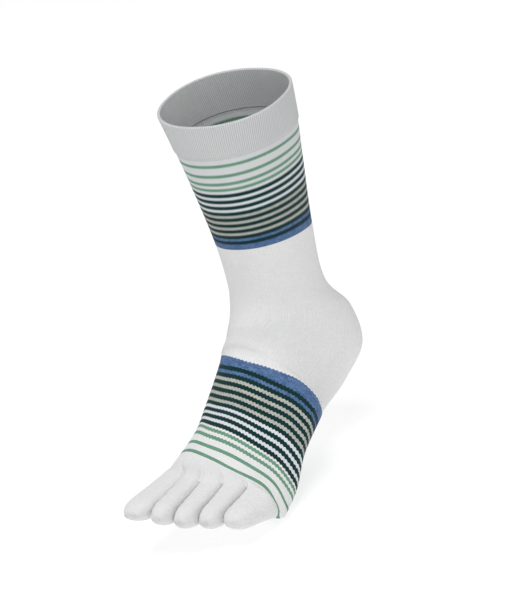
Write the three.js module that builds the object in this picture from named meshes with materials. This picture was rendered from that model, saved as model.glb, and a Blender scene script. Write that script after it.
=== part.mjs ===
// A left five-toe crew sock in its worn shape, knitted as one hollow tube that ends in five toe pockets.
// Millimetres. The leg rises along +Z, the toes point along -Y and the little toe is on the +X side.
// The origin lies under the leg, level with the lowest point of the sole.
import * as THREE from "three";

// Driving dimensions.
const FOOT_LENGTH = 275; // back of the heel to the tip of the big toe
const FOOT_WIDTH = 95; // across the foot at the roots of the toes
const SOCK_HEIGHT = 286; // lowest point of the sole to the back of the rim
const KNIT = 1.2; // wall of the single knit
const WELT = 2.4; // doubled wall of the cuff
const CUFF_STEP = 0.8; // how far the cuff stands out from the leg
const SEAM = 0.44; // gap between neighbouring pieces
const TOE_GAP = 1.2; // gap between neighbouring toe pockets

// Sections from the rim to the ball of the foot. Each is an oval hung between a front point and a back point.
// y is a share of FOOT_LENGTH, z of SOCK_HEIGHT, and half, aside and ridge of FOOT_WIDTH. half is the half
// width, aside moves the section towards the little toe and ridge moves only its front. fullest is the level
// of the full width from front (-1) to back (1), and square is how boxy the back half is. drop and lag are
// slopes: how far the section falls and how far it trails back towards the big toe, per millimetre sideways.
// keel is how boxy the front half is, and below 2 it comes to a ridge.
// rings counts the rows of points from this section to the next.
const SECTION_COLUMNS = [
  "frontY", "frontZ", "backY", "backZ", "half", "aside", "ridge", "fullest", "square", "drop", "lag", "keel",
];
const SECTIONS = [
  { name: "rim", rings: 1, share: [-0.193, 0.968, 0.159, 1.0, 0.512, 0.003, 0.005, 0, 2.2, 0, 0, 2.15] },
  { name: "cuff_hem", rings: 2, share: [-0.178, 0.877, 0.171, 0.89, 0.455, 0.01, -0.01, 0.1, 2.2, 0, 0, 2.15] },
  { name: "calf", rings: 3, share: [-0.152, 0.765, 0.167, 0.787, 0.416, 0.016, 0, 0.1, 2.2, 0, 0, 2.15] },
  { name: "leg_band_end", rings: 1, share: [-0.115, 0.606, 0.158, 0.598, 0.358, 0.018, -0.01, 0.2, 2.2, 0, 0, 2.15] },
  { name: "ankle", rings: 2, share: [-0.093, 0.498, 0.167, 0.424, 0.354, 0.023, -0.013, 0.1, 2.2, 0, 0, 2.15] },
  { name: "heel_top", rings: 2, share: [-0.095, 0.451, 0.25, 0.31, 0.41, 0.038, -0.03, 0.1, 2.2, 0, 0, 2.15] },
  { name: "heel", rings: 2, share: [-0.112, 0.424, 0.27, 0.181, 0.422, 0.033, -0.04, 0.2, 2.2, 0, 0, 2.15] },
  { name: "heel_sole", rings: 1, share: [-0.13, 0.404, 0.192, 0.103, 0.37, 0, -0.04, 0.15, 2.2, 0, 0, 2.1] },
  { name: "heel_end", rings: 1, share: [-0.137, 0.384, 0.101, 0.078, 0.342, -0.015, -0.05, 0.1, 2.4, 0.02, 0, 2] },
  { name: "instep", rings: 2, share: [-0.146, 0.36, 0.005, 0.084, 0.348, 0.01, -0.1, 0.15, 2.6, 0.06, 0, 1.95] },
  { name: "foot_band", rings: 2, share: [-0.16, 0.322, -0.064, 0.108, 0.392, 0.065, -0.15, 0.1, 2.7, 0.1, 0.04, 1.85] },
  { name: "arch", rings: 2, share: [-0.257, 0.246, -0.216, 0.079, 0.418, 0.08, -0.145, 0.2, 2.8, 0.13, 0.07, 1.8] },
  { name: "ball", rings: 2, share: [-0.339, 0.209, -0.304, 0.037, 0.441, 0.092, -0.115, 0.4, 3.1, 0.17, 0.12, 1.85] },
  { name: "toe_box", rings: 3, share: [-0.437, 0.161, -0.409, 0.035, 0.488, 0.09, -0.07, 0.6, 3.6, 0.21, 0.13, 2] },
];

// Where the toe pockets begin: the inner edge of the foot, the four crotches between toes and the outer edge.
// x is a share of FOOT_WIDTH, y of FOOT_LENGTH, and the levels of the top and the sole of SOCK_HEIGHT.
const ROOTS = [
  { x: -0.37, y: -0.485, top: 0.146, sole: 0.078 },
  { x: -0.126, y: -0.51, top: 0.158, sole: 0.066 },
  { x: 0.037, y: -0.523, top: 0.151, sole: 0.054 },
  { x: 0.192, y: -0.5, top: 0.136, sole: 0.044 },
  { x: 0.347, y: -0.474, top: 0.117, sole: 0.035 },
  { x: 0.578, y: -0.486, top: 0.09, sole: 0.023 },
];
// The middle, width and height of each pocket at its tip, as shares of the same sizes.
const TIPS = [
  { name: "big_toe", x: -0.24, y: -0.722, z: 0.135, wide: 0.235, tall: 0.052 },
  { name: "second_toe", x: -0.032, y: -0.718, z: 0.126, wide: 0.153, tall: 0.055 },
  { name: "third_toe", x: 0.119, y: -0.695, z: 0.108, wide: 0.147, tall: 0.052 },
  { name: "fourth_toe", x: 0.263, y: -0.656, z: 0.091, wide: 0.15, tall: 0.052 },
  { name: "little_toe", x: 0.437, y: -0.625, z: 0.079, wide: 0.2, tall: 0.05 },
];
const CROWN = 1.2; // how far a toe's top stands above its crotches at the root
const TOE_ROWS = [0.2, 0.42, 0.63, 0.8, 0.91, 0.975]; // rows of points along a toe, as shares of its length
const TOE_CAP = 0.7; // share of a toe's length where it starts to round over to its tip

// Every toe takes ARC columns over its top and ARC under it; the outer toes take SIDE more at the edge.
const TOE_POINTS = 16; // points round a toe pocket
const ARC = TOE_POINTS / 4 + 1;
const SIDE = TOE_POINTS / 4 - 1;
const COLUMNS = 2 * (TIPS.length * ARC + SIDE);
const TOP_MIDDLE = (TIPS.length * ARC - 1) / 2;
const HEEL_COLUMNS = 11; // columns of the heel pocket on each side of the middle of the back

const signedPower = (value, exponent) => Math.sign(value) * Math.abs(value) ** exponent;
const named = (columns, values) => Object.fromEntries(columns.map((column, i) => [column, values[i]]));

// A smooth curve through the listed values, read at a place between two of them.
function smooth(values, place) {
  const i = Math.min(Math.floor(place), values.length - 2);
  const t = place - i;
  const [p1, p2] = [values[i], values[i + 1]];
  const p0 = values[i - 1] ?? 2 * p1 - p2;
  const p3 = values[i + 2] ?? 2 * p2 - p1;
  const bend = 2 * p0 - 5 * p1 + 4 * p2 - p3 + (3 * (p1 - p2) + p3 - p0) * t;
  return p1 + 0.5 * t * (p2 - p0 + t * bend);
}

// The oval of one section as COLUMNS evenly spaced points, counted from the big toe's edge over the top.
function sectionRing(row) {
  const samples = 360;
  const dense = [];
  for (let i = 0; i <= samples; i++) {
    const angle = (2 * Math.PI * i) / samples;
    const exponent = 2 / (Math.cos(angle) > 0 ? row.keel : row.square);
    const along = signedPower(Math.cos(angle), exponent);
    const across = signedPower(Math.sin(angle), exponent);
    const level = row.fullest - (1 + Math.sign(along) * row.fullest) * along;
    const share = (level + 1) / 2;
    const offset = FOOT_WIDTH * (row.half * across + row.ridge * Math.max(along, 0));
    dense.push(
      new THREE.Vector3(
        FOOT_WIDTH * row.aside + offset,
        FOOT_LENGTH * (row.frontY + (row.backY - row.frontY) * share) - row.lag * offset,
        SOCK_HEIGHT * (row.frontZ + (row.backZ - row.frontZ) * share) - row.drop * offset
      )
    );
  }
  const travelled = [0];
  for (let i = 1; i <= samples; i++) travelled.push(travelled[i - 1] + dense[i].distanceTo(dense[i - 1]));
  return Array.from({ length: COLUMNS }, (_, column) => {
    const turn = (column - TOP_MIDDLE + COLUMNS) % COLUMNS;
    const target = (turn / COLUMNS) * travelled[samples];
    const i = Math.max(1, travelled.findIndex((length) => length >= target));
    const t = (target - travelled[i - 1]) / (travelled[i] - travelled[i - 1]);
    return dense[i - 1].clone().lerp(dense[i], t);
  });
}

// Points round a toe pocket from its root (0) to its tip (1): over the top, down the outer side, back
// under the sole and up the inner side.
const { lerp } = THREE.MathUtils;
function toeRing(i, along) {
  const [inner, outer, tip] = [ROOTS[i], ROOTS[i + 1], TIPS[i]];
  const rounding = Math.max(0, (along - TOE_CAP) / (1 - TOE_CAP));
  const size = (1 - rounding ** 2.2) ** (1 / 2.2);
  const boxy = lerp(0.84, 0.74, Math.min(1, 3 * along));
  const rootWide = FOOT_WIDTH * (outer.x - inner.x) - TOE_GAP;
  const wide = lerp(rootWide, FOOT_WIDTH * tip.wide - TOE_GAP, along) * size;
  const rootTall = (SOCK_HEIGHT * (inner.top - inner.sole + outer.top - outer.sole)) / 2 + CROWN;
  const tall = lerp(rootTall, SOCK_HEIGHT * tip.tall, along ** 0.7) * size;
  return Array.from({ length: TOE_POINTS }, (_, n) => {
    const angle = Math.PI * (0.75 - (2 * n) / TOE_POINTS);
    const across = signedPower(Math.cos(angle), boxy);
    const up = signedPower(Math.sin(angle), boxy);
    const from = (across + 1) / 2;
    const rootY = FOOT_LENGTH * lerp(inner.y, outer.y, from);
    const rootZ = (SOCK_HEIGHT * lerp(inner.top + inner.sole, outer.top + outer.sole, from) + CROWN) / 2;
    return new THREE.Vector3(
      FOOT_WIDTH * lerp((inner.x + outer.x) / 2, tip.x, along) + (across * wide) / 2,
      lerp(rootY, FOOT_LENGTH * tip.y, along),
      lerp(rootZ, SOCK_HEIGHT * tip.z, along) + (up * tall) / 2
    );
  });
}

// Collects knit points and four-cornered patches that share them.
const points = [];
const addRing = (ring) => ring.map((point) => points.push(point) - 1);

// Patches between two rings of the same length, each from the first ring to the second.
function rows(first, second, closed = true, columns = first.map((_, i) => i)) {
  const last = closed ? columns.length : columns.length - 1;
  return columns.slice(0, last).map((column, i) => {
    const next = columns[(i + 1) % columns.length];
    return [first[column], second[column], second[next], first[next]];
  });
}

const rowsOfShares = SECTIONS.map((section) => section.share);
const tableRings = [];
SECTIONS.forEach((section, s) => {
  const isLast = s === SECTIONS.length - 1;
  for (let i = 0; i < (isLast ? 1 : section.rings); i++) {
    const place = s + i / section.rings;
    const values = SECTION_COLUMNS.map((_, c) => smooth(rowsOfShares.map((share) => share[c]), place));
    tableRings.push({ section: section.name, ring: sectionRing(named(SECTION_COLUMNS, values)) });
  }
});

// The last ring of the foot runs over and under the five toe roots.
const toeRoots = TIPS.map((_, i) => toeRing(i, 0));
const outerSide = (ring) => ring.slice(ARC, ARC + SIDE);
const innerSide = (ring) => ring.slice(2 * ARC + SIDE);
const rootRing = [
  ...toeRoots.flatMap((ring) => ring.slice(0, ARC)),
  ...outerSide(toeRoots.at(-1)),
  ...toeRoots.toReversed().flatMap((ring) => ring.slice(ARC + SIDE, 2 * ARC + SIDE)),
  ...innerSide(toeRoots[0]),
];
const boxSteps = SECTIONS.at(-1).rings;
const [before, start] = tableRings.slice(-2).map((entry) => entry.ring);
for (let i = 1; i <= boxSteps; i++) {
  const t = i / boxSteps;
  tableRings.push({
    section: "toe_roots",
    ring: rootRing.map((root, c) => {
      const reach = root.clone().sub(start[c]);
      const bend = start[c].clone().sub(before[c]).setLength(reach.length()).sub(reach);
      return start[c].clone().addScaledVector(reach, t).addScaledVector(bend, t * (1 - t) ** 2);
    }),
  });
}
const rings = tableRings.map((entry) => ({ section: entry.section, ids: addRing(entry.ring) }));
const ringAt = (name) => rings.findIndex((entry) => entry.section === name);

// Patches of the tube between two named sections.
function tube(from, to) {
  const patches = [];
  for (let r = from; r < to; r++) {
    rows(rings[r].ids, rings[r + 1].ids).forEach((patch, column) => patches.push({ patch, r, column }));
  }
  return patches;
}
const patchesOnly = (list) => list.map((entry) => entry.patch);
const tubePatches = (from, to) => patchesOnly(tube(ringAt(from), ringAt(to)));

// The heel pocket covers the back of the heel and wraps under it.
const BACK_MIDDLE = TOP_MIDDLE + COLUMNS / 2;
const HEEL_TOP = ringAt("heel_top") - 1;
const HEEL_BOTTOM = ringAt("heel_end");
const inHeel = ({ r, column }) =>
  r >= HEEL_TOP && r < HEEL_BOTTOM && Math.abs(column + 0.5 - BACK_MIDDLE) < HEEL_COLUMNS;

function faceDirection(patch) {
  const [a, b, c, d] = patch.map((id) => points[id]);
  return c.clone().sub(a).cross(d.clone().sub(b)).normalize();
}

// At every knit point: the way out of the cloth, and how much further a wall must go there to keep its
// thickness where the cloth turns a corner.
function clothDirections(patches) {
  const faces = points.map(() => []);
  patches.forEach((patch) => {
    const face = faceDirection(patch);
    new Set(patch).forEach((id) => faces[id].push(face));
  });
  return faces.map((list) => {
    const out = list.reduce((sum, face) => sum.add(face), new THREE.Vector3()).normalize();
    return { out, stretch: 1 / Math.max(0.6, Math.min(...list.map((face) => face.dot(out)))) };
  });
}

// Turns a sheet of patches into a closed wall: the sheet is the outside, the wall grows inwards, and the
// open edges draw back square to themselves by the given distance.
function thicken(patches, directions, { wall = KNIT, proud = 0, draw = SEAM / 2 }) {
  const sides = patches.flatMap((patch) =>
    patch.map((id, i) => ({ patch, start: id, end: patch[(i + 1) % 4] })).filter((side) => side.start !== side.end)
  );
  const taken = new Set(sides.map((side) => `${side.start} ${side.end}`));
  const openSides = sides.filter((side) => !taken.has(`${side.end} ${side.start}`));
  const pulls = new Map();
  openSides.forEach(({ patch, start, end }) => {
    const along = points[end].clone().sub(points[start]);
    const inward = faceDirection(patch).cross(along).normalize();
    [start, end].forEach((id) => pulls.set(id, [...(pulls.get(id) ?? []), inward]));
  });
  const corners = [];
  const place = new Map();
  [...new Set(patches.flat())].forEach((id) => {
    const { out, stretch } = directions[id];
    const outside = points[id].clone().addScaledVector(out, proud);
    if (pulls.has(id)) {
      const [first, second] = pulls.get(id);
      outside.addScaledVector(first.clone().add(second), draw / Math.max(0.5, 1 + first.dot(second)));
    }
    place.set(id, corners.length / 3);
    corners.push(...outside, ...outside.clone().addScaledVector(out, -wall * stretch));
  });
  const triangles = [];
  const addPatch = (a, b, c, d) => {
    if (a !== b && b !== c) triangles.push(a, b, c);
    if (a !== d && d !== c) triangles.push(a, c, d);
  };
  patches.forEach((patch) => {
    const [a, b, c, d] = patch.map((id) => place.get(id));
    addPatch(a, b, c, d);
    addPatch(d + 1, c + 1, b + 1, a + 1);
  });
  openSides.forEach((side) => {
    const [start, end] = [place.get(side.start), place.get(side.end)];
    if (side.start < side.end) addPatch(end, start, start + 1, end + 1);
    else addPatch(start, start + 1, end + 1, end);
  });
  const geometry = new THREE.BufferGeometry();
  geometry.setAttribute("position", new THREE.Float32BufferAttribute(corners, 3));
  geometry.setIndex(triangles);
  geometry.computeVertexNormals();
  return geometry;
}

// Strips that close the crotch between each toe root and the next.
const toeIds = toeRoots.map((ring, i) => {
  const box = rings.at(-1).ids;
  const top = box.slice(ARC * i, ARC * (i + 1));
  const soleStart = ARC * TIPS.length + SIDE + ARC * (TIPS.length - 1 - i);
  const sole = box.slice(soleStart, soleStart + ARC);
  const edge = ARC * TIPS.length;
  const outside = i === TIPS.length - 1 ? box.slice(edge, edge + SIDE) : addRing(outerSide(ring));
  const inside = i === 0 ? box.slice(COLUMNS - SIDE) : addRing(innerSide(ring));
  return [...top, ...outside, ...sole, ...inside];
});
const crotches = toeIds.slice(0, -1).flatMap((left, i) => {
  const right = toeIds[i + 1];
  const down = left.slice(ARC - 1, ARC + SIDE + 1);
  const facing = [right[0], ...right.slice(2 * ARC + SIDE - 1).toReversed()];
  return rows(facing, down, false);
});

function toePocket(i) {
  const loops = [toeIds[i], ...TOE_ROWS.map((along) => addRing(toeRing(i, along)))];
  const tip = points.push(toeRing(i, 1)[0]) - 1;
  const walls = loops.slice(0, -1).flatMap((loop, i) => rows(loop, loops[i + 1]));
  const cap = rows(loops.at(-1), loops.at(-1).map(() => tip));
  return [...walls, ...cap];
}

const material = (name, color) => {
  const cloth = new THREE.MeshStandardMaterial({ color, roughness: 0.95, metalness: 0 });
  cloth.name = name;
  return cloth;
};
const whiteKnit = material("white_knit", 0xf0f0ee);
const whiteRib = material("white_rib", 0xececea);
const stripedKnit = material("striped_knit", 0x5f7f80);

const ankleTube = tube(ringAt("leg_band_end"), ringAt("foot_band"));
const toeBox = [...patchesOnly(tube(ringAt("toe_box"), rings.length - 1)), ...crotches];
const pieces = [
  { name: "cuff", patches: tubePatches("rim", "cuff_hem"), cloth: whiteRib, wall: WELT, proud: CUFF_STEP },
  { name: "leg_band", patches: tubePatches("cuff_hem", "leg_band_end"), cloth: stripedKnit },
  { name: "ankle", patches: patchesOnly(ankleTube.filter((entry) => !inHeel(entry))), cloth: whiteKnit },
  { name: "heel_pocket", patches: patchesOnly(ankleTube.filter(inHeel)), cloth: whiteKnit },
  { name: "foot_band", patches: tubePatches("foot_band", "toe_box"), cloth: stripedKnit },
  { name: "toe_box", patches: toeBox, cloth: whiteKnit },
  ...TIPS.map((tip, i) => ({ name: tip.name, patches: toePocket(i), cloth: whiteKnit, draw: SEAM })),
];

const sock = new THREE.Group();
sock.name = "toe_sock";
const directions = clothDirections(pieces.flatMap((piece) => piece.patches));
pieces.forEach((piece) => {
  const mesh = new THREE.Mesh(thicken(piece.patches, directions, piece), piece.cloth);
  mesh.name = piece.name;
  sock.add(mesh);
});

export default sock;
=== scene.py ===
"""A left five-toe crew sock in its worn shape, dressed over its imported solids.

Metres, in the frame of the solids: the leg rises along +Z, the toes point along -Y and the little toe is on
the +X side. The knit is one lofted shell that follows the same named sections as the solids. Its UV map
"stitches" counts wales round the sock and courses along it, so that every pattern follows the knitting.
"""

import logging
import math
from dataclasses import dataclass, field
from enum import Enum

import bpy
import numpy as np
from mathutils import Matrix, Vector


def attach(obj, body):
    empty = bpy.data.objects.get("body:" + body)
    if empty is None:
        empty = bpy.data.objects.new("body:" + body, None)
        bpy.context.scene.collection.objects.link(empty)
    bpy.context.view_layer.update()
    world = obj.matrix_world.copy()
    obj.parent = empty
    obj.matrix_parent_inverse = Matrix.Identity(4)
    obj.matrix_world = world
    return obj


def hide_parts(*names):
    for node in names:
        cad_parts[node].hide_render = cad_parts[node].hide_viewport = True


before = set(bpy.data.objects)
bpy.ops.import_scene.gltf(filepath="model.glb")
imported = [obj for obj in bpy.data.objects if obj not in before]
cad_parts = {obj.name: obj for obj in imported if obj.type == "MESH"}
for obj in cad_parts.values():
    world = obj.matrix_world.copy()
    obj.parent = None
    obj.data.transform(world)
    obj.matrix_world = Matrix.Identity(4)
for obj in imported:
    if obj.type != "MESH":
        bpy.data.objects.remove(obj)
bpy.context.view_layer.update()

STITCH_MAP = "stitches"
COURSE = 0.00094  # height of a course of the white knit, in metres
TOE_COURSE = 140  # course number at the roots of the toe pockets
WELD = 0.00002  # points nearer than this, in metres, are joined

log = logging.getLogger("toe_sock")


class Yarn(Enum):
    """The yarns of the sock, some darkened as painted shade: colour on screen (0-255), colour of its flecks
    and how flecked it is.
    """

    WHITE = ((234, 234, 234), (215, 215, 216), 0.25)
    # painted shade: the foot's white yarn made darker for the leg, which gets less light
    SHADED_LEG_WHITE = ((222, 224, 225), (204, 206, 208), 0.25)
    # painted shade: the same white yarn made darker still for the cuff, which gets less light
    SHADED_RIB_WHITE = ((212, 213, 214), (200, 201, 202), 0.25)
    # painted shade: one darker course that stands for the shadow line of a ridge under the cuff's hem
    HEM_RIDGE_PAINTED_SHADE = ((196, 199, 199), (182, 185, 186), 0.3)
    PALE = ((220, 226, 230), (200, 206, 211), 0.3)
    SAGE = ((112, 158, 134), (92, 138, 112), 0.5)
    TEAL = ((0, 52, 51), (0, 30, 33), 0.6)
    OAT = ((190, 192, 184), (162, 165, 158), 0.8)
    DENIM = ((98, 128, 168), (66, 94, 138), 1.0)

    @property
    def colour(self) -> tuple[float, float, float, float]:
        """The yarn's colour in linear light."""
        return linear(self.value[0])

    @property
    def fleck(self) -> tuple[float, float, float, float]:
        """The colour of its darker fibres in linear light."""
        return linear(self.value[1])

    @property
    def flecked(self) -> float:
        """How strongly the fibres vary, from 0 to 1."""
        return self.value[2]


def linear(screen: tuple[int, int, int]) -> tuple[float, float, float, float]:
    """Turns a screen colour into linear light.

    Args:
        screen: red, green and blue from 0 to 255.

    Returns:
        The colour with an alpha of 1.
    """
    channels = [c / 255 for c in screen]
    return (*[c / 12.92 if c <= 0.04045 else ((c + 0.055) / 1.055) ** 2.4 for c in channels], 1.0)


@dataclass(frozen=True)
class Stripe:
    """A round of one yarn, so many courses high."""

    yarn: Yarn
    courses: int


def ladder(steps: list[tuple[Yarn, int]]) -> list[Stripe]:
    """Lists stripes from pairs of yarn and height in courses."""
    return [Stripe(yarn, courses) for yarn, courses in steps]


GAPS = [Yarn.PALE] * 3 + [Yarn.OAT] * 4 + [Yarn.DENIM]
DARK_LADDER = [(Yarn.TEAL, 4)] + [step for gap in GAPS for step in ((gap, 3), (Yarn.TEAL, 4))]
# the leg's white courses are the white yarn darkened by painted shade
LEG_GREENS = [
    (Yarn.SHADED_LEG_WHITE, 2),
    # painted shade of the ridge under the hem
    (Yarn.HEM_RIDGE_PAINTED_SHADE, 1),
    (Yarn.SHADED_LEG_WHITE, 5),
    (Yarn.SAGE, 3),
    (Yarn.SHADED_LEG_WHITE, 7),
    (Yarn.SAGE, 3),
    (Yarn.SHADED_LEG_WHITE, 5),
    (Yarn.SAGE, 3),
    (Yarn.SHADED_LEG_WHITE, 3),
    (Yarn.SAGE, 3),
    (Yarn.SHADED_LEG_WHITE, 3),
]
FOOT_GREENS = [
    (Yarn.WHITE, 2),
    (Yarn.SAGE, 3),
    (Yarn.WHITE, 3),
    (Yarn.SAGE, 3),
    (Yarn.WHITE, 5),
    (Yarn.SAGE, 3),
    (Yarn.WHITE, 5),
    (Yarn.SAGE, 3),
    (Yarn.WHITE, 11),
]
ABOVE_BAND = 14  # white courses above the wide blue stripe
FOOT_COURSES = 96  # from the wide blue stripe to the toe box, where the last green stripe runs
LEG_STRIPES = ladder([*LEG_GREENS, *DARK_LADDER, (Yarn.DENIM, 6)])
FOOT_STRIPES = ladder([(Yarn.WHITE, ABOVE_BAND), (Yarn.DENIM, 10), *DARK_LADDER[::-1], *FOOT_GREENS])
# the cuff's rib is the white yarn darkened by painted shade
RIB = ladder([(Yarn.SHADED_RIB_WHITE, 1)])


def signed_power(value: np.ndarray, exponent: float | np.ndarray) -> np.ndarray:
    """Raises the size of a value to a power and keeps its sign."""
    return np.sign(value) * np.abs(value) ** exponent


def lerp(a: float, b: float, t: float) -> float:
    """Blends from a at 0 to b at 1."""
    return a + (b - a) * t


@dataclass(frozen=True)
class Section:
    """One oval of the tube, hung between a front point and a back point.

    y is a share of the foot's length, z of the sock's height, and half, aside and ridge of the foot's width.
    """

    front_y: float
    front_z: float
    back_y: float
    back_z: float
    half: float
    aside: float
    ridge: float
    fullest: float
    square: float
    drop: float
    lag: float
    keel: float

    def shares(self) -> list[float]:
        """All values in the order of the fields."""
        return list(self.__dict__.values())


@dataclass(frozen=True)
class ToeRoot:
    """A point between two toe pockets, or at the edge of the outer ones."""

    x: float
    y: float
    top: float
    sole: float


@dataclass(frozen=True)
class ToeTip:
    """The middle, width and height of a toe pocket at its tip."""

    name: str
    x: float
    y: float
    z: float
    wide: float
    tall: float


SECTIONS = {
    "rim": Section(-0.193, 0.968, 0.159, 1.0, 0.512, 0.003, 0.005, 0, 2.2, 0, 0, 2.15),
    "cuff_hem": Section(-0.178, 0.877, 0.171, 0.89, 0.455, 0.01, -0.01, 0.1, 2.2, 0, 0, 2.15),
    "calf": Section(-0.152, 0.765, 0.167, 0.787, 0.416, 0.016, 0, 0.1, 2.2, 0, 0, 2.15),
    "leg_band_end": Section(-0.115, 0.606, 0.158, 0.598, 0.358, 0.018, -0.01, 0.2, 2.2, 0, 0, 2.15),
    "ankle": Section(-0.093, 0.498, 0.167, 0.424, 0.354, 0.023, -0.013, 0.1, 2.2, 0, 0, 2.15),
    "heel_top": Section(-0.095, 0.451, 0.25, 0.31, 0.41, 0.038, -0.03, 0.1, 2.2, 0, 0, 2.15),
    "heel": Section(-0.112, 0.424, 0.27, 0.181, 0.422, 0.033, -0.04, 0.2, 2.2, 0, 0, 2.15),
    "heel_sole": Section(-0.13, 0.404, 0.192, 0.103, 0.37, 0, -0.04, 0.15, 2.2, 0, 0, 2.1),
    "heel_end": Section(-0.137, 0.384, 0.101, 0.078, 0.342, -0.015, -0.05, 0.1, 2.4, 0.02, 0, 2),
    "instep": Section(-0.146, 0.36, 0.005, 0.084, 0.348, 0.01, -0.1, 0.15, 2.6, 0.06, 0, 1.95),
    "foot_band": Section(-0.16, 0.322, -0.064, 0.108, 0.392, 0.065, -0.15, 0.1, 2.7, 0.1, 0.04, 1.85),
    "arch": Section(-0.257, 0.246, -0.216, 0.079, 0.418, 0.08, -0.145, 0.2, 2.8, 0.13, 0.07, 1.8),
    "ball": Section(-0.339, 0.209, -0.304, 0.037, 0.441, 0.092, -0.115, 0.4, 3.1, 0.17, 0.12, 1.85),
    "toe_box": Section(-0.437, 0.161, -0.409, 0.035, 0.488, 0.09, -0.07, 0.6, 3.6, 0.21, 0.13, 2),
}
TOE_ROOTS = [
    ToeRoot(-0.37, -0.485, 0.146, 0.078),
    ToeRoot(-0.126, -0.51, 0.158, 0.066),
    ToeRoot(0.037, -0.523, 0.151, 0.054),
    ToeRoot(0.192, -0.5, 0.136, 0.044),
    ToeRoot(0.347, -0.474, 0.117, 0.035),
    ToeRoot(0.578, -0.486, 0.09, 0.023),
]


@dataclass(frozen=True)
class Fan:
    """A run of courses that is higher in some places round the sock and lower in others.

    Each swell gives how many courses the run gains, where (as a share of the way round from the big toe's
    edge over the top) and how widely. A swell stops at the column where the ring closes.
    """

    start: float
    end: float
    swells: tuple


FANS = [
    Fan(1, 13, ((-9.3, 0.08, 0.065), (2.9, 0.24, 0.07), (-4.7, 0.44, 0.07))),
    Fan(14.5, 23.5, ((-2.9, 0.24, 0.07), (2.3, 0.44, 0.07))),
    Fan(90.1, 91.9, ((1.2, 0.09, 0.05),)),
    Fan(96.3, 99.7, ((1.9, 0.09, 0.05), (4.1, 0.52, 0.05))),
    Fan(103.3, 107.7, ((1.6, 0.08, 0.06), (2.3, 0.29, 0.08), (5.8, 0.5, 0.06))),
]
TOE_TIPS = [
    ToeTip("big_toe", -0.24, -0.722, 0.135, 0.235, 0.052),
    ToeTip("second_toe", -0.032, -0.718, 0.126, 0.153, 0.055),
    ToeTip("third_toe", 0.119, -0.695, 0.108, 0.147, 0.052),
    ToeTip("fourth_toe", 0.263, -0.656, 0.091, 0.15, 0.052),
    ToeTip("little_toe", 0.437, -0.625, 0.079, 0.2, 0.05),
]


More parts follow.
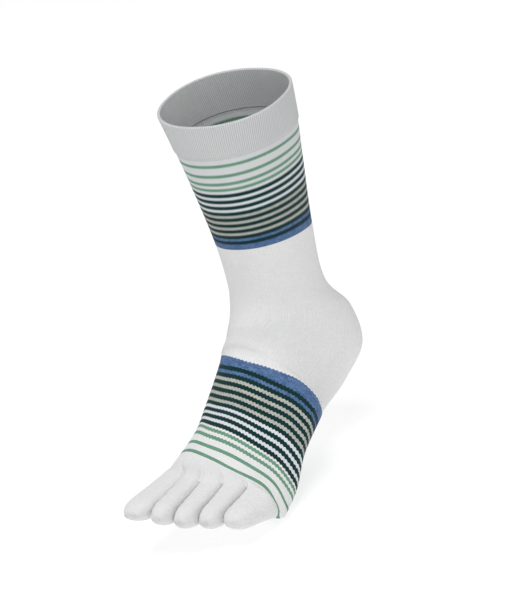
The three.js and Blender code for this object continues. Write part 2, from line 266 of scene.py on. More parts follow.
@dataclass
class FootForm:
    """The worn shape: the surface of the knit as rings of points, in metres.

    Every toe takes arc columns over its top and as many under it, and the outer toes take side more.
    """

    foot_length: float = 0.275
    foot_width: float = 0.095
    sock_height: float = 0.286
    toe_gap: float = 0.0001
    press: float = 1.06
    crown: float = 0.0006
    wide_cap: float = 0.68
    tall_cap: float = 0.72
    seam_reach: float = 0.93
    blunt: float = 2.15
    root_square: float = 0.5
    tip_square: float = 0.92
    edge_square: float = 0.8
    samples: int = 60
    fineness: int = 4
    step: float = 0.0013

    def __post_init__(self) -> None:
        """Works out the columns and reads the sections into one table."""
        self.arc = 4 * self.fineness + 1
        self.side = 4 * self.fineness - 1
        self.toe_points = 16 * self.fineness
        self.columns = 2 * (len(TOE_TIPS) * self.arc + self.side)
        self.top_middle = (len(TOE_TIPS) * self.arc - 1) // 2
        self.names = list(SECTIONS)
        self.table = np.array([section.shares() for section in SECTIONS.values()])

    def place(self, name: str) -> int:
        """Where a named section stands in the table."""
        return self.names.index(name)

    def between(self, place: float) -> Section:
        """The section at a place between two of the table's, on a smooth curve through them."""
        i = min(int(place), len(self.table) - 2)
        t = place - i
        p1, p2 = self.table[i], self.table[i + 1]
        p0 = self.table[i - 1] if i else 2 * p1 - p2
        p3 = self.table[i + 2] if i + 2 < len(self.table) else 2 * p2 - p1
        bend = 2 * p0 - 5 * p1 + 4 * p2 - p3 + (3 * (p1 - p2) + p3 - p0) * t
        return Section(*(p1 + 0.5 * t * (p2 - p0 + t * bend)))

    def ring(self, place: float) -> np.ndarray:
        """The oval at a place of the table, as evenly spaced points from the big toe's edge over the top."""
        row = self.between(place)
        angle = np.linspace(0, 2 * math.pi, 721)
        exponent = np.where(np.cos(angle) > 0, 2 / row.keel, 2 / row.square)
        along = signed_power(np.cos(angle), exponent)
        across = signed_power(np.sin(angle), exponent)
        share = (row.fullest - (1 + np.sign(along) * row.fullest) * along + 1) / 2
        offset = self.foot_width * (row.half * across + row.ridge * np.maximum(along, 0))
        x = self.foot_width * row.aside + offset
        y = self.foot_length * lerp(row.front_y, row.back_y, share) - row.lag * offset
        z = self.sock_height * lerp(row.front_z, row.back_z, share) - row.drop * offset
        points = np.stack([x, y, z], -1)
        travelled = np.r_[0, np.cumsum(np.linalg.norm(np.diff(points, axis=0), axis=1))]
        turn = (np.arange(self.columns) - self.top_middle + self.columns) % self.columns
        target = turn / self.columns * travelled[-1]
        return np.stack([np.interp(target, travelled, points[:, axis]) for axis in range(3)], -1)

    def border(self, root: int, y: np.ndarray) -> np.ndarray:
        """Where two neighbouring toe pockets press against each other, from the crotch to the notch.

        Args:
            root: number of the toe root between them.
            y: how far forward the points lie.

        Returns:
            How far sideways the border lies at each of them.
        """
        crotch, left, right = TOE_ROOTS[root], TOE_TIPS[root - 1], TOE_TIPS[root]
        notch_x = (left.x + left.wide / 2 + right.x - right.wide / 2) / 2
        notch_y = (left.y + right.y) / 2
        share = (y / self.foot_length - crotch.y) / (notch_y - crotch.y)
        return self.foot_width * lerp(crotch.x, notch_x, share)

    def toe_ring(self, toe: int, along: float) -> np.ndarray:
        """Points round a toe pocket from its root (0) to its tip (1), over the top first.

        Args:
            toe: number of the toe, from the big one.
            along: share of the pocket's length.

        Returns:
            The ring's points.
        """
        inner, outer, tip = TOE_ROOTS[toe], TOE_ROOTS[toe + 1], TOE_TIPS[toe]
        wide_left = self.rounded((along - self.wide_cap) / (1 - self.wide_cap) * self.seam_reach)
        tall_left = self.rounded((along - self.tall_cap) / (1 - self.tall_cap))
        root_wide = self.foot_width * (outer.x - inner.x)
        wide = lerp(root_wide, self.foot_width * tip.wide, along) * wide_left
        root_tall = self.sock_height * (inner.top - inner.sole + outer.top - outer.sole) / 2 + self.crown
        tall = lerp(root_tall, self.sock_height * tip.tall, along**0.7) * tall_left
        angle = np.linspace(0.75 * math.pi, -1.25 * math.pi, 4 * self.samples + 1)
        free = (np.cos(angle) < 0) & (toe == 0) | (np.cos(angle) > 0) & (toe == len(TOE_TIPS) - 1)
        boxy = np.where(free, self.edge_square, lerp(self.root_square, self.tip_square, along))
        across = signed_power(np.cos(angle), boxy)
        up = signed_power(np.sin(angle), boxy)
        start = (across + 1) / 2
        root_y = self.foot_length * lerp(inner.y, outer.y, start)
        levels = lerp(inner.top + inner.sole, outer.top + outer.sole, start)
        root_z = (self.sock_height * levels + self.crown) / 2
        spread = np.where(free, 1.0, self.press) * across * wide / 2
        x = self.foot_width * lerp((inner.x + outer.x) / 2, tip.x, along) + spread
        y = lerp(root_y, self.foot_length * tip.y, along)
        z = lerp(root_z, self.sock_height * tip.z, along) + up * tall / 2
        if toe > 0:
            x = np.maximum(x, self.border(toe, y) + self.toe_gap / 2)
        if toe < len(TOE_TIPS) - 1:
            x = np.minimum(x, self.border(toe + 1, y) - self.toe_gap / 2)
        return self.evened(np.stack([x, y, z], -1))

    def rounded(self, share: float) -> float:
        """How much of a toe's size is left on its rounded end, from all of it at 0 to none at 1."""
        return max(0.0, 1 - max(0.0, share) ** self.blunt) ** (1 / self.blunt)

    def evened(self, points: np.ndarray) -> np.ndarray:
        """Spaces a toe's ring evenly between its four corners."""
        count = self.toe_points // 4
        quarters = []
        for corner in range(4):
            side = points[corner * self.samples : (corner + 1) * self.samples + 1]
            travelled = np.r_[0, np.cumsum(np.linalg.norm(np.diff(side, axis=0), axis=1))]
            target = travelled[-1] * np.arange(count) / count
            quarters.append(np.stack([np.interp(target, travelled, side[:, axis]) for axis in range(3)], -1))
        return np.concatenate(quarters)

    def tube(self, start: str | float, end: str | float) -> np.ndarray:
        """Rings of the tube, about a step apart.

        Args:
            start: the name of the section that it starts at, or its place in the table.
            end: the same for the section that it ends at.

        Returns:
            The rings, from start to end.
        """
        first, last = [self.place(at) if isinstance(at, str) else at for at in (start, end)]
        count = round(8 * (last - first)) + 1
        rough = np.array([self.ring(place) for place in np.linspace(first, last, count)])
        gaps = np.linalg.norm(np.diff(rough, axis=0), axis=2).mean(axis=1)
        travelled = np.r_[0, np.cumsum(gaps)]
        count = max(2, round(travelled[-1] / self.step))
        places = np.interp(
            np.linspace(0, travelled[-1], count + 1), travelled, np.linspace(first, last, len(travelled))
        )
        return np.array([self.ring(place) for place in places])

    def fanned(self, courses: np.ndarray) -> np.ndarray:
        """Bends the stripes by making the courses of each fan higher or lower round the sock.

        Args:
            courses: course numbers as rings and columns.

        Returns:
            The course numbers that the stripes follow.
        """
        turn = np.arange(self.columns) / self.columns
        fanned = courses + np.zeros(self.columns)
        for fan in FANS:
            more = sum(gain * np.exp(-(((turn - middle) / wide) ** 2)) for gain, middle, wide in fan.swells)
            height = fan.end - fan.start
            inside = fan.start + (fanned - fan.start) * height / (height + more)
            beyond = fanned - more
            fanned = np.where(fanned < fan.start, fanned, np.where(beyond < fan.end, inside, beyond))
        return fanned

    def root_ring(self, along: float = 0.0) -> np.ndarray:
        """The last ring of the foot, over and under the five toe roots, or the same ring further along."""
        roots = [self.toe_ring(toe, along) for toe in range(len(TOE_TIPS))]
        tops = [root[: self.arc] for root in roots]
        soles = [root[self.arc + self.side : 2 * self.arc + self.side] for root in roots[::-1]]
        outside = roots[-1][self.arc : self.arc + self.side]
        inside = roots[0][2 * self.arc + self.side :]
        return np.concatenate([*tops, outside, *soles, inside])

    def toe_box(self) -> np.ndarray:
        """Rings from the last section of the tube to the toe roots, which they meet on a soft bend."""
        last = self.place("toe_box")
        before, start = self.ring(last - 0.5), self.ring(last)
        root, ahead = self.root_ring(), self.root_ring(0.08)
        length = np.linalg.norm(root - start, axis=1, keepdims=True)
        ways = (start - before, ahead - root)
        leaving, arriving = [way / np.linalg.norm(way, axis=1, keepdims=True) * length for way in ways]
        count = round(length.mean() / self.step)
        rings = []
        for t in np.linspace(0, 1, count + 1):
            bend = leaving * t * (1 - t) ** 2 - arriving * t**2 * (1 - t)
            rings.append(lerp(start, root, t * t * (3 - 2 * t)) + bend)
        return np.array(rings)


WALES_PER_COLUMN = 0.75


@dataclass
class KnitSheet:
    """A sheet of knit: corners, four-cornered patches and the stitch place of every patch corner."""

    corners: list = field(default_factory=list)
    patches: list = field(default_factory=list)
    stitches: list = field(default_factory=list)

    def add_rings(self, rings: np.ndarray, courses: np.ndarray, wale: float, closed: bool = True) -> None:
        """Adds the patches between neighbouring rings.

        Args:
            rings: points as rings, columns and coordinates.
            courses: the course number of each ring, or of each point.
            wale: the wale number of the first column.
            closed: whether the last column joins the first.
        """
        base = len(self.corners)
        count = rings.shape[1]
        if courses.ndim == 1:
            courses = np.repeat(courses[:, None], count, axis=1)
        self.corners.extend(map(tuple, rings.reshape(-1, 3)))
        for r in range(len(rings) - 1):
            for c in range(count if closed else count - 1):
                following = (c + 1) % count
                here, there = base + r * count, base + (r + 1) * count
                self.patches.append((here + c, there + c, there + following, here + following))
                left, right = wale + c * WALES_PER_COLUMN, wale + (c + 1) * WALES_PER_COLUMN
                near, far = courses[r], courses[r + 1]
                corners = (left, near[c]), (left, far[c]), (right, far[following]), (right, near[following])
                self.stitches.append(corners)

    def to_object(self, name: str, wall: float, proud: float = 0.0) -> bpy.types.Object:
        """Makes the sheet a closed wall that grows inwards from it.

        Args:
            name: name of the piece.
            wall: thickness of the wall.
            proud: how far the outside stands off the sheet.

        Returns:
            The piece, smooth and with its stitch map.
        """
        mesh = bpy.data.meshes.new(name)
        mesh.from_pydata(self.corners, [], self.patches)
        uv = mesh.uv_layers.new(name=STITCH_MAP)
        uv.data.foreach_set("uv", np.array(self.stitches, dtype=np.float32).ravel())
        piece = bpy.data.objects.new(name, mesh)
        bpy.context.scene.collection.objects.link(piece)
        bpy.ops.object.select_all(action="DESELECT")
        piece.select_set(True)
        bpy.context.view_layer.objects.active = piece
        bpy.ops.object.mode_set(mode="EDIT")
        bpy.ops.mesh.select_all(action="SELECT")
        bpy.ops.mesh.remove_doubles(threshold=WELD)
        bpy.ops.object.mode_set(mode="OBJECT")
        wall_maker = piece.modifiers.new("wall", "SOLIDIFY")
        wall_maker.thickness = wall
        wall_maker.offset = -1 + 2 * proud / wall
        wall_maker.use_even_offset = False
        bpy.ops.object.modifier_apply(modifier=wall_maker.name)
        bpy.ops.object.shade_smooth_by_angle(angle=math.radians(50))
        return piece


class Graph:
    """A short way to add and join shader nodes in one tree."""

    def __init__(self, tree: bpy.types.NodeTree) -> None:
        """Keeps the tree that the nodes go to."""
        self.tree = tree

    def node(self, kind: str, settings: dict | None = None, **inputs) -> bpy.types.Node:
        """Adds a node.

        Args:
            kind: the node's type name.
            settings: values of its properties.
            inputs: values or sockets for its inputs, by name with spaces as underscores, or by number as i0.

        Returns:
            The node.
        """
        made = self.tree.nodes.new(kind)
        for key, value in (settings or {}).items():
            setattr(made, key, value)
        for key, value in inputs.items():
            numbered = key[0] == "i" and key[1:].isdigit()
            socket = made.inputs[int(key[1:])] if numbered else made.inputs[key.replace("_", " ")]
            if isinstance(value, bpy.types.NodeSocket):
                self.tree.links.new(value, socket)
            else:
                socket.default_value = value
        return made

    def math(self, operation: str, *values, clamp: bool = False) -> bpy.types.NodeSocket:
        """Adds a Math node and returns its value."""
        inputs = {f"i{i}": value for i, value in enumerate(values)}
        return self.node("ShaderNodeMath", {"operation": operation, "use_clamp": clamp}, **inputs).outputs[0]

    def mix(self, factor, first, second, blend: str = "MIX") -> bpy.types.NodeSocket:
        """Mixes two colours and returns the result."""
        made = self.node("ShaderNodeMix", {"data_type": "RGBA", "blend_type": blend})
        for socket, value in ((made.inputs[0], factor), (made.inputs[6], first), (made.inputs[7], second)):
            if isinstance(value, bpy.types.NodeSocket):
                self.tree.links.new(value, socket)
            else:
                socket.default_value = value
        return made.outputs[2]


def new_group(name: str, inputs: list[tuple[str, str]], outputs: list[tuple[str, str]]) -> tuple:
    """Starts a shader node group with named sockets.

    Args:
        name: name of the group.
        inputs: name and socket type of each input.
        outputs: name and socket type of each output.

    Returns:
        The group, its graph, its input node and its output node.
    """
    group = bpy.data.node_groups.new(name, "ShaderNodeTree")
    for direction, sockets in (("INPUT", inputs), ("OUTPUT", outputs)):
        for socket_name, kind in sockets:
            group.interface.new_socket(name=socket_name, in_out=direction, socket_type=kind)
    graph = Graph(group)
    return group, graph, graph.node("NodeGroupInput"), graph.node("NodeGroupOutput")


FLOAT, VECTOR, COLOUR = "NodeSocketFloat", "NodeSocketVector", "NodeSocketColor"


def jersey_stitch() -> bpy.types.NodeTree:
    """The plain knit: rows of V stitches, from the stitch map.

    Returns:
        A group that gives the height of the yarn, the course that a point belongs to, how deep a point lies
        between the stitches, and a random value for each stitch.
    """
    outputs = [("Height", FLOAT), ("Course", FLOAT), ("Gap", FLOAT), ("Random", FLOAT)]
    group, g, start, end = new_group("jersey stitch", [("Stitch", VECTOR), ("Slant", FLOAT)], outputs)
    place = g.node("ShaderNodeSeparateXYZ", Vector=start.outputs["Stitch"])
    wale = g.math("FLOOR", place.outputs[0])
    off_middle = g.math("ABSOLUTE", g.math("SUBTRACT", g.math("FRACT", place.outputs[0]), 0.5))
    slanted = g.math("MULTIPLY_ADD", off_middle, start.outputs["Slant"], place.outputs[1])
    course = g.math("FLOOR", slanted)
    rise = g.math("FRACT", slanted)
    from_leg = g.math("DIVIDE", g.math("SUBTRACT", off_middle, 0.26), 0.27)
    leg = g.math("SUBTRACT", 1.0, g.math("MULTIPLY", from_leg, from_leg), clamp=True)
    loop = g.math("SINE", g.math("MULTIPLY", rise, math.pi))
    height = g.math("MULTIPLY", leg, g.math("MULTIPLY_ADD", loop, 0.55, 0.45))
    cell = g.node("ShaderNodeCombineXYZ", X=wale, Y=course)
    random = g.node("ShaderNodeTexWhiteNoise", {"noise_dimensions": "2D"}, Vector=cell.outputs[0])
    links = group.links
    links.new(height, end.inputs["Height"])
    links.new(course, end.inputs["Course"])
    links.new(g.math("SUBTRACT", 1.0, height), end.inputs["Gap"])
    links.new(random.outputs["Value"], end.inputs["Random"])
    return group


def rib_stitch() -> bpy.types.NodeTree:
    """The cuff's fine upright ribs, with a faint course across them.

    Returns:
        A group that gives the height of the yarn and how deep a point lies between the ribs.
    """
    outputs = [("Height", FLOAT), ("Gap", FLOAT)]
    group, g, start, end = new_group("rib stitch", [("Stitch", VECTOR), ("Ribs per wale", FLOAT)], outputs)
    place = g.node("ShaderNodeSeparateXYZ", Vector=start.outputs["Stitch"])
    ribs = g.math("MULTIPLY", place.outputs[0], start.outputs["Ribs per wale"])
    across = g.math("SINE", g.math("MULTIPLY", g.math("FRACT", ribs), math.pi))
    rib = g.math("POWER", across, 0.7)
    along = g.math("SINE", g.math("MULTIPLY", g.math("FRACT", place.outputs[1]), math.pi))
    height = g.math("MULTIPLY", rib, g.math("MULTIPLY_ADD", along, 0.25, 0.75))
    group.links.new(height, end.inputs["Height"])
    group.links.new(g.math("SUBTRACT", 1.0, height), end.inputs["Gap"])
    return group


def fibre_fuzz() -> bpy.types.NodeTree:
    """Loose fibres over the yarn and a slow unevenness of the cloth.

    Returns:
        A group that gives a fine height and a shade near 1.
    """
    group, g, start, end = new_group("fibre fuzz", [("Place", VECTOR)], [("Height", FLOAT), ("Shade", FLOAT)])
    place = start.outputs["Place"]
    fine = g.node("ShaderNodeTexNoise", Vector=place, Scale=2600.0, Detail=3.0, Roughness=0.6)
    slow = g.node("ShaderNodeTexNoise", Vector=place, Scale=34.0, Detail=2.0, Roughness=0.5)
    shade = g.math("MULTIPLY_ADD", slow.outputs[0], 0.06, 0.97)
    group.links.new(fine.outputs[0], end.inputs["Height"])
    group.links.new(shade, end.inputs["Shade"])
    return group


class Stitchwork(Enum):
    """How a finish is knitted."""

    JERSEY = "jersey"
    RIB = "rib"


@dataclass(frozen=True)
class KnitFinish:
    """A knitted finish: its stripes, its stitch and how strongly it shows."""

    name: str
    stripes: tuple
    stitchwork: Stitchwork = Stitchwork.JERSEY
    relief: float = 0.00035
    gap_shade: float = 0.12
    wale_scale: float = 1.0
    slant: float = 1.6
    smooth_from: float = 1000.0
    smooth_over: float = 8.0
    smoothed: float = 0.85
    ribs_per_wale: float = 1.333

    def ramp(self, graph: Graph, course, read) -> bpy.types.NodeSocket:
        """Looks up a value for the stripe that a course belongs to.

        Args:
            graph: the material's graph.
            course: socket with the course number.
            read: takes a yarn and gives the colour to use.

        Returns:
            The colour of the stripe.
        """
        total = sum(stripe.courses for stripe in self.stripes)
        share = graph.math("DIVIDE", graph.math("ADD", course, 0.5), float(total))
        made = graph.node("ShaderNodeValToRGB", Fac=share)
        made.color_ramp.interpolation = "CONSTANT"
        made.color_ramp.elements.remove(made.color_ramp.elements[1])
        travelled = 0
        for i, stripe in enumerate(self.stripes):
            step = made.color_ramp.elements[0] if i == 0 else made.color_ramp.elements.new(travelled / total)
            step.position = travelled / total
            step.color = read(stripe.yarn)
            travelled += stripe.courses
        return made.outputs[0]

    def material(self, groups: dict[str, bpy.types.NodeTree]) -> bpy.types.Material:
        """Builds the material.

        Args:
            groups: the shared node groups, by name.

        Returns:
            The material.
        """
        made = bpy.data.materials.new(self.name)
        made.use_nodes = True
        made.node_tree.nodes.clear()
        g = Graph(made.node_tree)
        counted = g.node("ShaderNodeUVMap", {"uv_map": STITCH_MAP}).outputs[0]
        scale = (self.wale_scale, 1.0, 1.0)
        stitch = g.node("ShaderNodeMapping", {"vector_type": "POINT"}, Vector=counted, Scale=scale).outputs[0]
        place = g.node("ShaderNodeTexCoord").outputs["Object"]
        fuzz = g.node("ShaderNodeGroup", {"node_tree": groups["fuzz"]}, Place=place)
        course = g.node("ShaderNodeSeparateXYZ", Vector=counted).outputs[1]
        past = g.math("SUBTRACT", course, self.smooth_from)
        smoothing = g.math("DIVIDE", past, self.smooth_over, clamp=True)
        slant = g.math("MULTIPLY_ADD", smoothing, -self.smoothed * self.slant, self.slant)
        jersey = g.node("ShaderNodeGroup", {"node_tree": groups["jersey"]}, Stitch=stitch, Slant=slant)
        knit = jersey
        if self.stitchwork is Stitchwork.RIB:
            settings = {"node_tree": groups["rib"]}
            knit = g.node("ShaderNodeGroup", settings, Stitch=stitch, Ribs_per_wale=self.ribs_per_wale)
        body = self.ramp(g, jersey.outputs["Course"], lambda yarn: yarn.colour)
        flecks = self.ramp(g, jersey.outputs["Course"], lambda yarn: yarn.fleck)
        amount = self.ramp(g, jersey.outputs["Course"], lambda yarn: (*[yarn.flecked] * 3, 1.0))
        fleck = g.math("MULTIPLY", jersey.outputs["Random"], amount, clamp=True)
        colour = g.mix(fleck, body, flecks)
        # painted shade: the colour darkens where the yarn lies deep between stitches or ribs; the slow random
        # unevenness of the cloth multiplies in too
        deep = g.math("MULTIPLY_ADD", knit.outputs["Gap"], -self.gap_shade, 1.0)
        shade = g.math("MULTIPLY", deep, fuzz.outputs["Shade"])
        grey = g.node("ShaderNodeCombineColor", Red=shade, Green=shade, Blue=shade)
        colour = g.mix(1.0, colour, grey.outputs[0], "MULTIPLY")
        height = g.math("MULTIPLY_ADD", fuzz.outputs["Height"], 0.25, knit.outputs["Height"])
        bump = g.node("ShaderNodeBump", Strength=0.7, Distance=self.relief, Height=height)
        cloth = g.node("ShaderNodeBsdfPrincipled", Base_Color=colour, Roughness=0.88, Normal=bump.outputs[0])
        cloth.inputs["Sheen Weight"].default_value = 0.05
        cloth.inputs["Sheen Roughness"].default_value = 0.5
        cloth.inputs["Specular IOR Level"].default_value = 0.2
        g.node("ShaderNodeOutputMaterial", Surface=cloth.outputs[0])
        return made


@dataclass
class SockPart:
    """A sub-assembly of the sock: how it is set down on the frame and given its finish."""

    form: FootForm
    wall: float = 0.0012

    def finish(self, piece: bpy.types.Object, node: str, slot: str, material: bpy.types.Material) -> None:
        """Makes a piece stand for a node of the frame and gives it its material."""
        piece.data.materials.clear()
        piece.data.materials.append(material)
        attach(piece, "root")
        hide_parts(node)
        log.info("%s: %d faces, %s", piece.name, len(piece.data.polygons), material.name)


@dataclass
class Cuff(SockPart):
    """The doubled ribbed welt, which stands a little proud of the leg."""

    wall: float = 0.0024
    step: float = 0.0008
    fold: float = 0.0009
    courses: float = 32

    def build(self) -> bpy.types.Object:
        """Lofts the welt and rounds its fold and its hem."""
        rings = self.form.tube("rim", "cuff_hem")
        sheet = KnitSheet()
        sheet.add_rings(rings, np.linspace(0, self.courses, len(rings)), 0)
        piece = sheet.to_object("cuff_welt", self.wall, self.step)
        rounding = piece.modifiers.new("fold", "BEVEL")
        rounding.width = self.fold
        rounding.segments = 3
        rounding.limit_method = "ANGLE"
        rounding.angle_limit = math.radians(50)
        bpy.ops.object.modifier_apply(modifier=rounding.name)
        bpy.ops.object.shade_smooth_by_angle(angle=math.radians(50))
        return piece

    def dress(self, piece: bpy.types.Object, finishes: dict[str, bpy.types.Material]) -> None:
        """Gives the welt its white rib."""
        self.finish(piece, "cuff", "rib_knit", finishes["rib"])


@dataclass
class LegBand(SockPart):
    """The striped part of the leg."""

    def build(self) -> bpy.types.Object:
        """Lofts the band with as many courses as its stripes."""
        rings = self.form.tube("cuff_hem", "leg_band_end")
        total = sum(stripe.courses for stripe in LEG_STRIPES)
        sheet = KnitSheet()
        sheet.add_rings(rings, np.linspace(0, total, len(rings)), 0)
        return sheet.to_object("leg_stripes", self.wall)

    def dress(self, piece: bpy.types.Object, finishes: dict[str, bpy.types.Material]) -> None:
        """Gives the band its stripes."""
        self.finish(piece, "leg_band", "striped_knit", finishes["leg"])


@dataclass
class Ankle(SockPart):
    """The plain ankle and, cut out of it, the heel pocket that wraps the back of the heel and its sole."""

    heel_columns: int = 39
    heel_start: float = 4.5
    course: float = COURSE

    def build(self) -> list[bpy.types.Object]:
        """Lofts the tube from the leg to the foot and parts it into ankle and heel pocket."""
        form = self.form
        spans = [("leg_band_end", self.heel_start), (self.heel_start, "heel_end"), ("heel_end", "foot_band")]
        upper, middle, lower = [form.tube(*span) for span in spans]
        back = form.top_middle + form.columns // 2
        left, right = back - self.heel_columns, back + self.heel_columns
        rest = [c % form.columns for c in range(right, left + form.columns + 1)]
        counts = [len(rings) - 1 for rings in (upper, middle, lower)]
        marks = ABOVE_BAND + (np.cumsum([0, *counts]) - sum(counts)) * form.step / self.course
        spans = zip((upper, middle, lower), marks, marks[1:])
        courses = [form.fanned(np.linspace(start, end, len(rings))[:, None]) for rings, start, end in spans]
        ankle = KnitSheet()
        ankle.add_rings(upper, courses[0], 0)
        ankle.add_rings(middle[:, rest], courses[1][:, rest], right * WALES_PER_COLUMN, False)
        ankle.add_rings(lower, courses[2], 0)
        heel = KnitSheet()
        heel_span = slice(left, right + 1)
        heel.add_rings(middle[:, heel_span], courses[1][:, heel_span], left * WALES_PER_COLUMN, False)
        return [ankle.to_object("plain_ankle", self.wall), heel.to_object("heel_cup", self.wall)]

    def dress(self, pieces: list[bpy.types.Object], finishes: dict[str, bpy.types.Material]) -> None:
        """Gives both their white knit, with the edge of the wide blue stripe."""
        for piece, node in zip(pieces, ("ankle", "heel_pocket")):
            self.finish(piece, node, "plain_knit", finishes["foot"])


@dataclass
class FootBand(SockPart):
    """The striped part of the foot."""

    def build(self) -> bpy.types.Object:
        """Lofts the band with as many courses as its stripes."""
        rings = self.form.tube("foot_band", "toe_box")
        courses = self.form.fanned(ABOVE_BAND + np.linspace(0, FOOT_COURSES, len(rings))[:, None])
        sheet = KnitSheet()
        sheet.add_rings(rings, courses, 0)
        return sheet.to_object("foot_stripes", self.wall)

    def dress(self, piece: bpy.types.Object, finishes: dict[str, bpy.types.Material]) -> None:
        """Gives the band its stripes."""
        self.finish(piece, "foot_band", "striped_knit", finishes["foot"])


@dataclass
class ToeBox(SockPart):
    """The plain front of the foot, with the strips that close the crotches between the toe roots."""

    course: float = COURSE

    def build(self) -> bpy.types.Object:
        """Lofts the box to the toe roots and closes the crotches."""
        form = self.form
        rings = form.toe_box()
        lengths = np.linalg.norm(np.diff(rings, axis=0), axis=2)
        travelled = np.concatenate([np.zeros((1, form.columns)), np.cumsum(lengths, axis=0)])
        sheet = KnitSheet()
        sheet.add_rings(rings, form.fanned(ABOVE_BAND + FOOT_COURSES + travelled / self.course), 0)
        roots = [form.toe_ring(toe, 0) for toe in range(len(TOE_TIPS))]
        for left, right in zip(roots, roots[1:]):
            down = left[form.arc - 1 : form.arc + form.side + 1]
            facing = np.concatenate([right[:1], right[2 * form.arc + form.side - 1 :][::-1]])
            sheet.add_rings(np.stack([facing, down]), TOE_COURSE + np.array([0.0, 1.0]), 0, False)
        return sheet.to_object("toe_box_knit", self.wall)

    def dress(self, piece: bpy.types.Object, finishes: dict[str, bpy.types.Material]) -> None:
        """Gives the box its white knit, with the edge of the last green stripe."""
        self.finish(piece, "toe_box", "plain_knit", finishes["foot"])


@dataclass
class ToePockets(SockPart):
    """The five knitted toe pockets, each closed at its tip."""

    rows: int = 44
    course: float = COURSE

    def build(self) -> list[bpy.types.Object]:
        """Lofts each pocket from its root to its rounded tip."""
        form = self.form
        pieces = []
        for toe, tip in enumerate(TOE_TIPS):
            turns = np.linspace(0, math.pi / 2, self.rows // 2 + 1)[:-1]
            straight = np.linspace(0, form.tall_cap, self.rows // 2, endpoint=False)
            rounding = form.tall_cap + (1 - form.tall_cap) * np.sin(turns)
            places = np.r_[straight, rounding, 0.9992]
            rings = np.array([form.toe_ring(toe, along) for along in places])
            end = form.toe_ring(toe, 1.0)
            rings = np.concatenate([rings, end[None]])
            gaps = np.linalg.norm(np.diff(rings, axis=0), axis=2).mean(axis=1)
            courses = np.r_[0, np.cumsum(gaps)] / self.course
            sheet = KnitSheet()
            sheet.add_rings(rings, TOE_COURSE + courses, toe * form.arc * WALES_PER_COLUMN)
            pieces.append(sheet.to_object(f"{tip.name}_pocket", self.wall))
        return pieces

    def dress(self, pieces: list[bpy.types.Object], finishes: dict[str, bpy.types.Material]) -> None:
        """Gives each pocket its plain white knit."""
        for piece, tip in zip(pieces, TOE_TIPS):
            self.finish(piece, tip.name, "plain_knit", finishes["foot"])


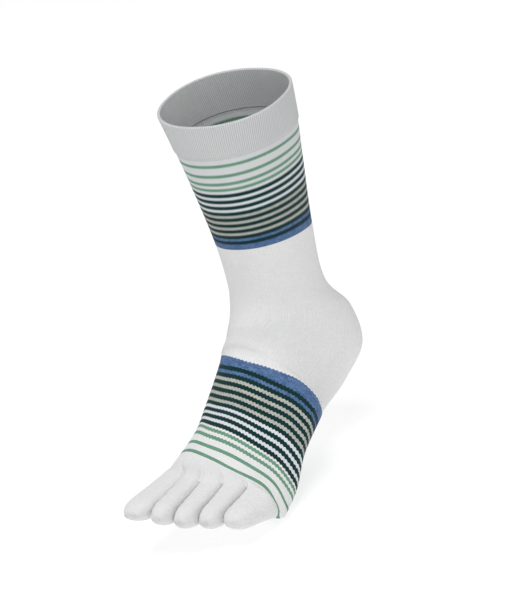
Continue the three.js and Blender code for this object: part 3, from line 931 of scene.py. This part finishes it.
@dataclass
class Studio:
    """A pale floor, soft light and the camera at the photograph's angle."""

    azimuth: float = math.radians(33.26)
    elevation: float = math.radians(20.21)
    roll: float = math.radians(-11.78)
    distance: float = 3.2017
    lens: float = 258.5
    looks_at: Vector = field(default_factory=lambda: Vector((0.0, -0.003255, 0.10283)))
    aside: float = -0.01401
    above: float = 0.01511
    floor_shade: float = 0.35
    floor_glow: float = 0.74
    sky: float = 0.49
    lit_at: Vector = field(default_factory=lambda: Vector((0, -0.03, 0.13)))

    def camera(self) -> None:
        """Sets the camera where the photograph was taken from."""
        a, e = self.azimuth, self.elevation
        back = Vector((math.sin(a) * math.cos(e), -math.cos(a) * math.cos(e), math.sin(e)))
        level = Vector((math.cos(a), math.sin(a), 0))
        upright = back.cross(level)
        right = math.cos(self.roll) * level + math.sin(self.roll) * upright
        up = math.cos(self.roll) * upright - math.sin(self.roll) * level
        target = self.looks_at + self.aside * right + self.above * up
        data = bpy.data.cameras.new("studio_camera")
        data.lens = self.lens
        data.clip_start, data.clip_end = 0.1, 20
        camera = bpy.data.objects.new("studio_camera", data)
        turned = Matrix((right, up, back)).transposed().to_4x4()
        camera.matrix_world = Matrix.Translation(target + self.distance * back) @ turned
        bpy.context.scene.collection.objects.link(camera)
        bpy.context.scene.camera = camera

    def floor(self) -> None:
        """Lays the pale floor under the sock."""
        bpy.ops.object.select_all(action="DESELECT")
        bpy.ops.mesh.primitive_plane_add(size=12, location=(0, 0, 0))
        plane = bpy.context.active_object
        plane.name = "floor"
        pale = bpy.data.materials.new("pale floor")
        pale.use_nodes = True
        shader = pale.node_tree.nodes["Principled BSDF"]
        shader.inputs["Base Color"].default_value = (*[self.floor_shade] * 3, 1)
        shader.inputs["Roughness"].default_value = 0.95
        shader.inputs["Specular IOR Level"].default_value = 0.0
        shader.inputs["Emission Color"].default_value = (1, 1, 1, 1)
        shader.inputs["Emission Strength"].default_value = self.floor_glow
        plane.data.materials.append(pale)

    def light(self, name: str, place: tuple, size: float, power: float) -> None:
        """Hangs one soft light that faces the sock.

        Args:
            name: name of the light.
            place: where it hangs.
            size: side of its square face.
            power: its strength in watts.
        """
        data = bpy.data.lights.new(name, "AREA")
        data.size = size
        data.energy = power
        lamp = bpy.data.objects.new(name, data)
        lamp.location = place
        lamp.rotation_euler = (self.lit_at - Vector(place)).to_track_quat("-Z", "Y").to_euler()
        bpy.context.scene.collection.objects.link(lamp)

    def build(self) -> None:
        """Sets up the floor, the lights, the sky and the camera."""
        self.floor()
        self.light("key", (0.1, -0.7, 2.2), 1.5, 31)
        self.light("fill", (1.6, -1.6, 0.6), 1.2, 6)
        world = bpy.data.worlds.new("studio")
        world.use_nodes = True
        world.node_tree.nodes["Background"].inputs[0].default_value = (1, 1, 1, 1)
        world.node_tree.nodes["Background"].inputs[1].default_value = self.sky
        bpy.context.scene.world = world
        bpy.context.scene.view_settings.view_transform = "Standard"
        self.camera()


def main() -> None:
    """Builds the studio and the sock, sub-assembly by sub-assembly."""
    logging.basicConfig(level=logging.INFO, format="%(name)s: %(message)s")
    Studio().build()
    groups = {"jersey": jersey_stitch(), "rib": rib_stitch(), "fuzz": fibre_fuzz()}
    finishes = {
        # the rib's stronger painted shade in its gaps also darkens the cuff as a whole
        "rib": KnitFinish("white rib", tuple(RIB), Stitchwork.RIB, gap_shade=0.4).material(groups),
        "leg": KnitFinish("leg stripes", tuple(LEG_STRIPES), slant=3.2).material(groups),
        "foot": KnitFinish(
            "foot stripes", tuple(FOOT_STRIPES), wale_scale=0.5, slant=2.1, smooth_from=92
        ).material(groups),
    }
    form = FootForm()
    for part in (Cuff(form), LegBand(form), Ankle(form), FootBand(form), ToeBox(form), ToePockets(form)):
        part.dress(part.build(), finishes)


if __name__ == "__main__":
    main()
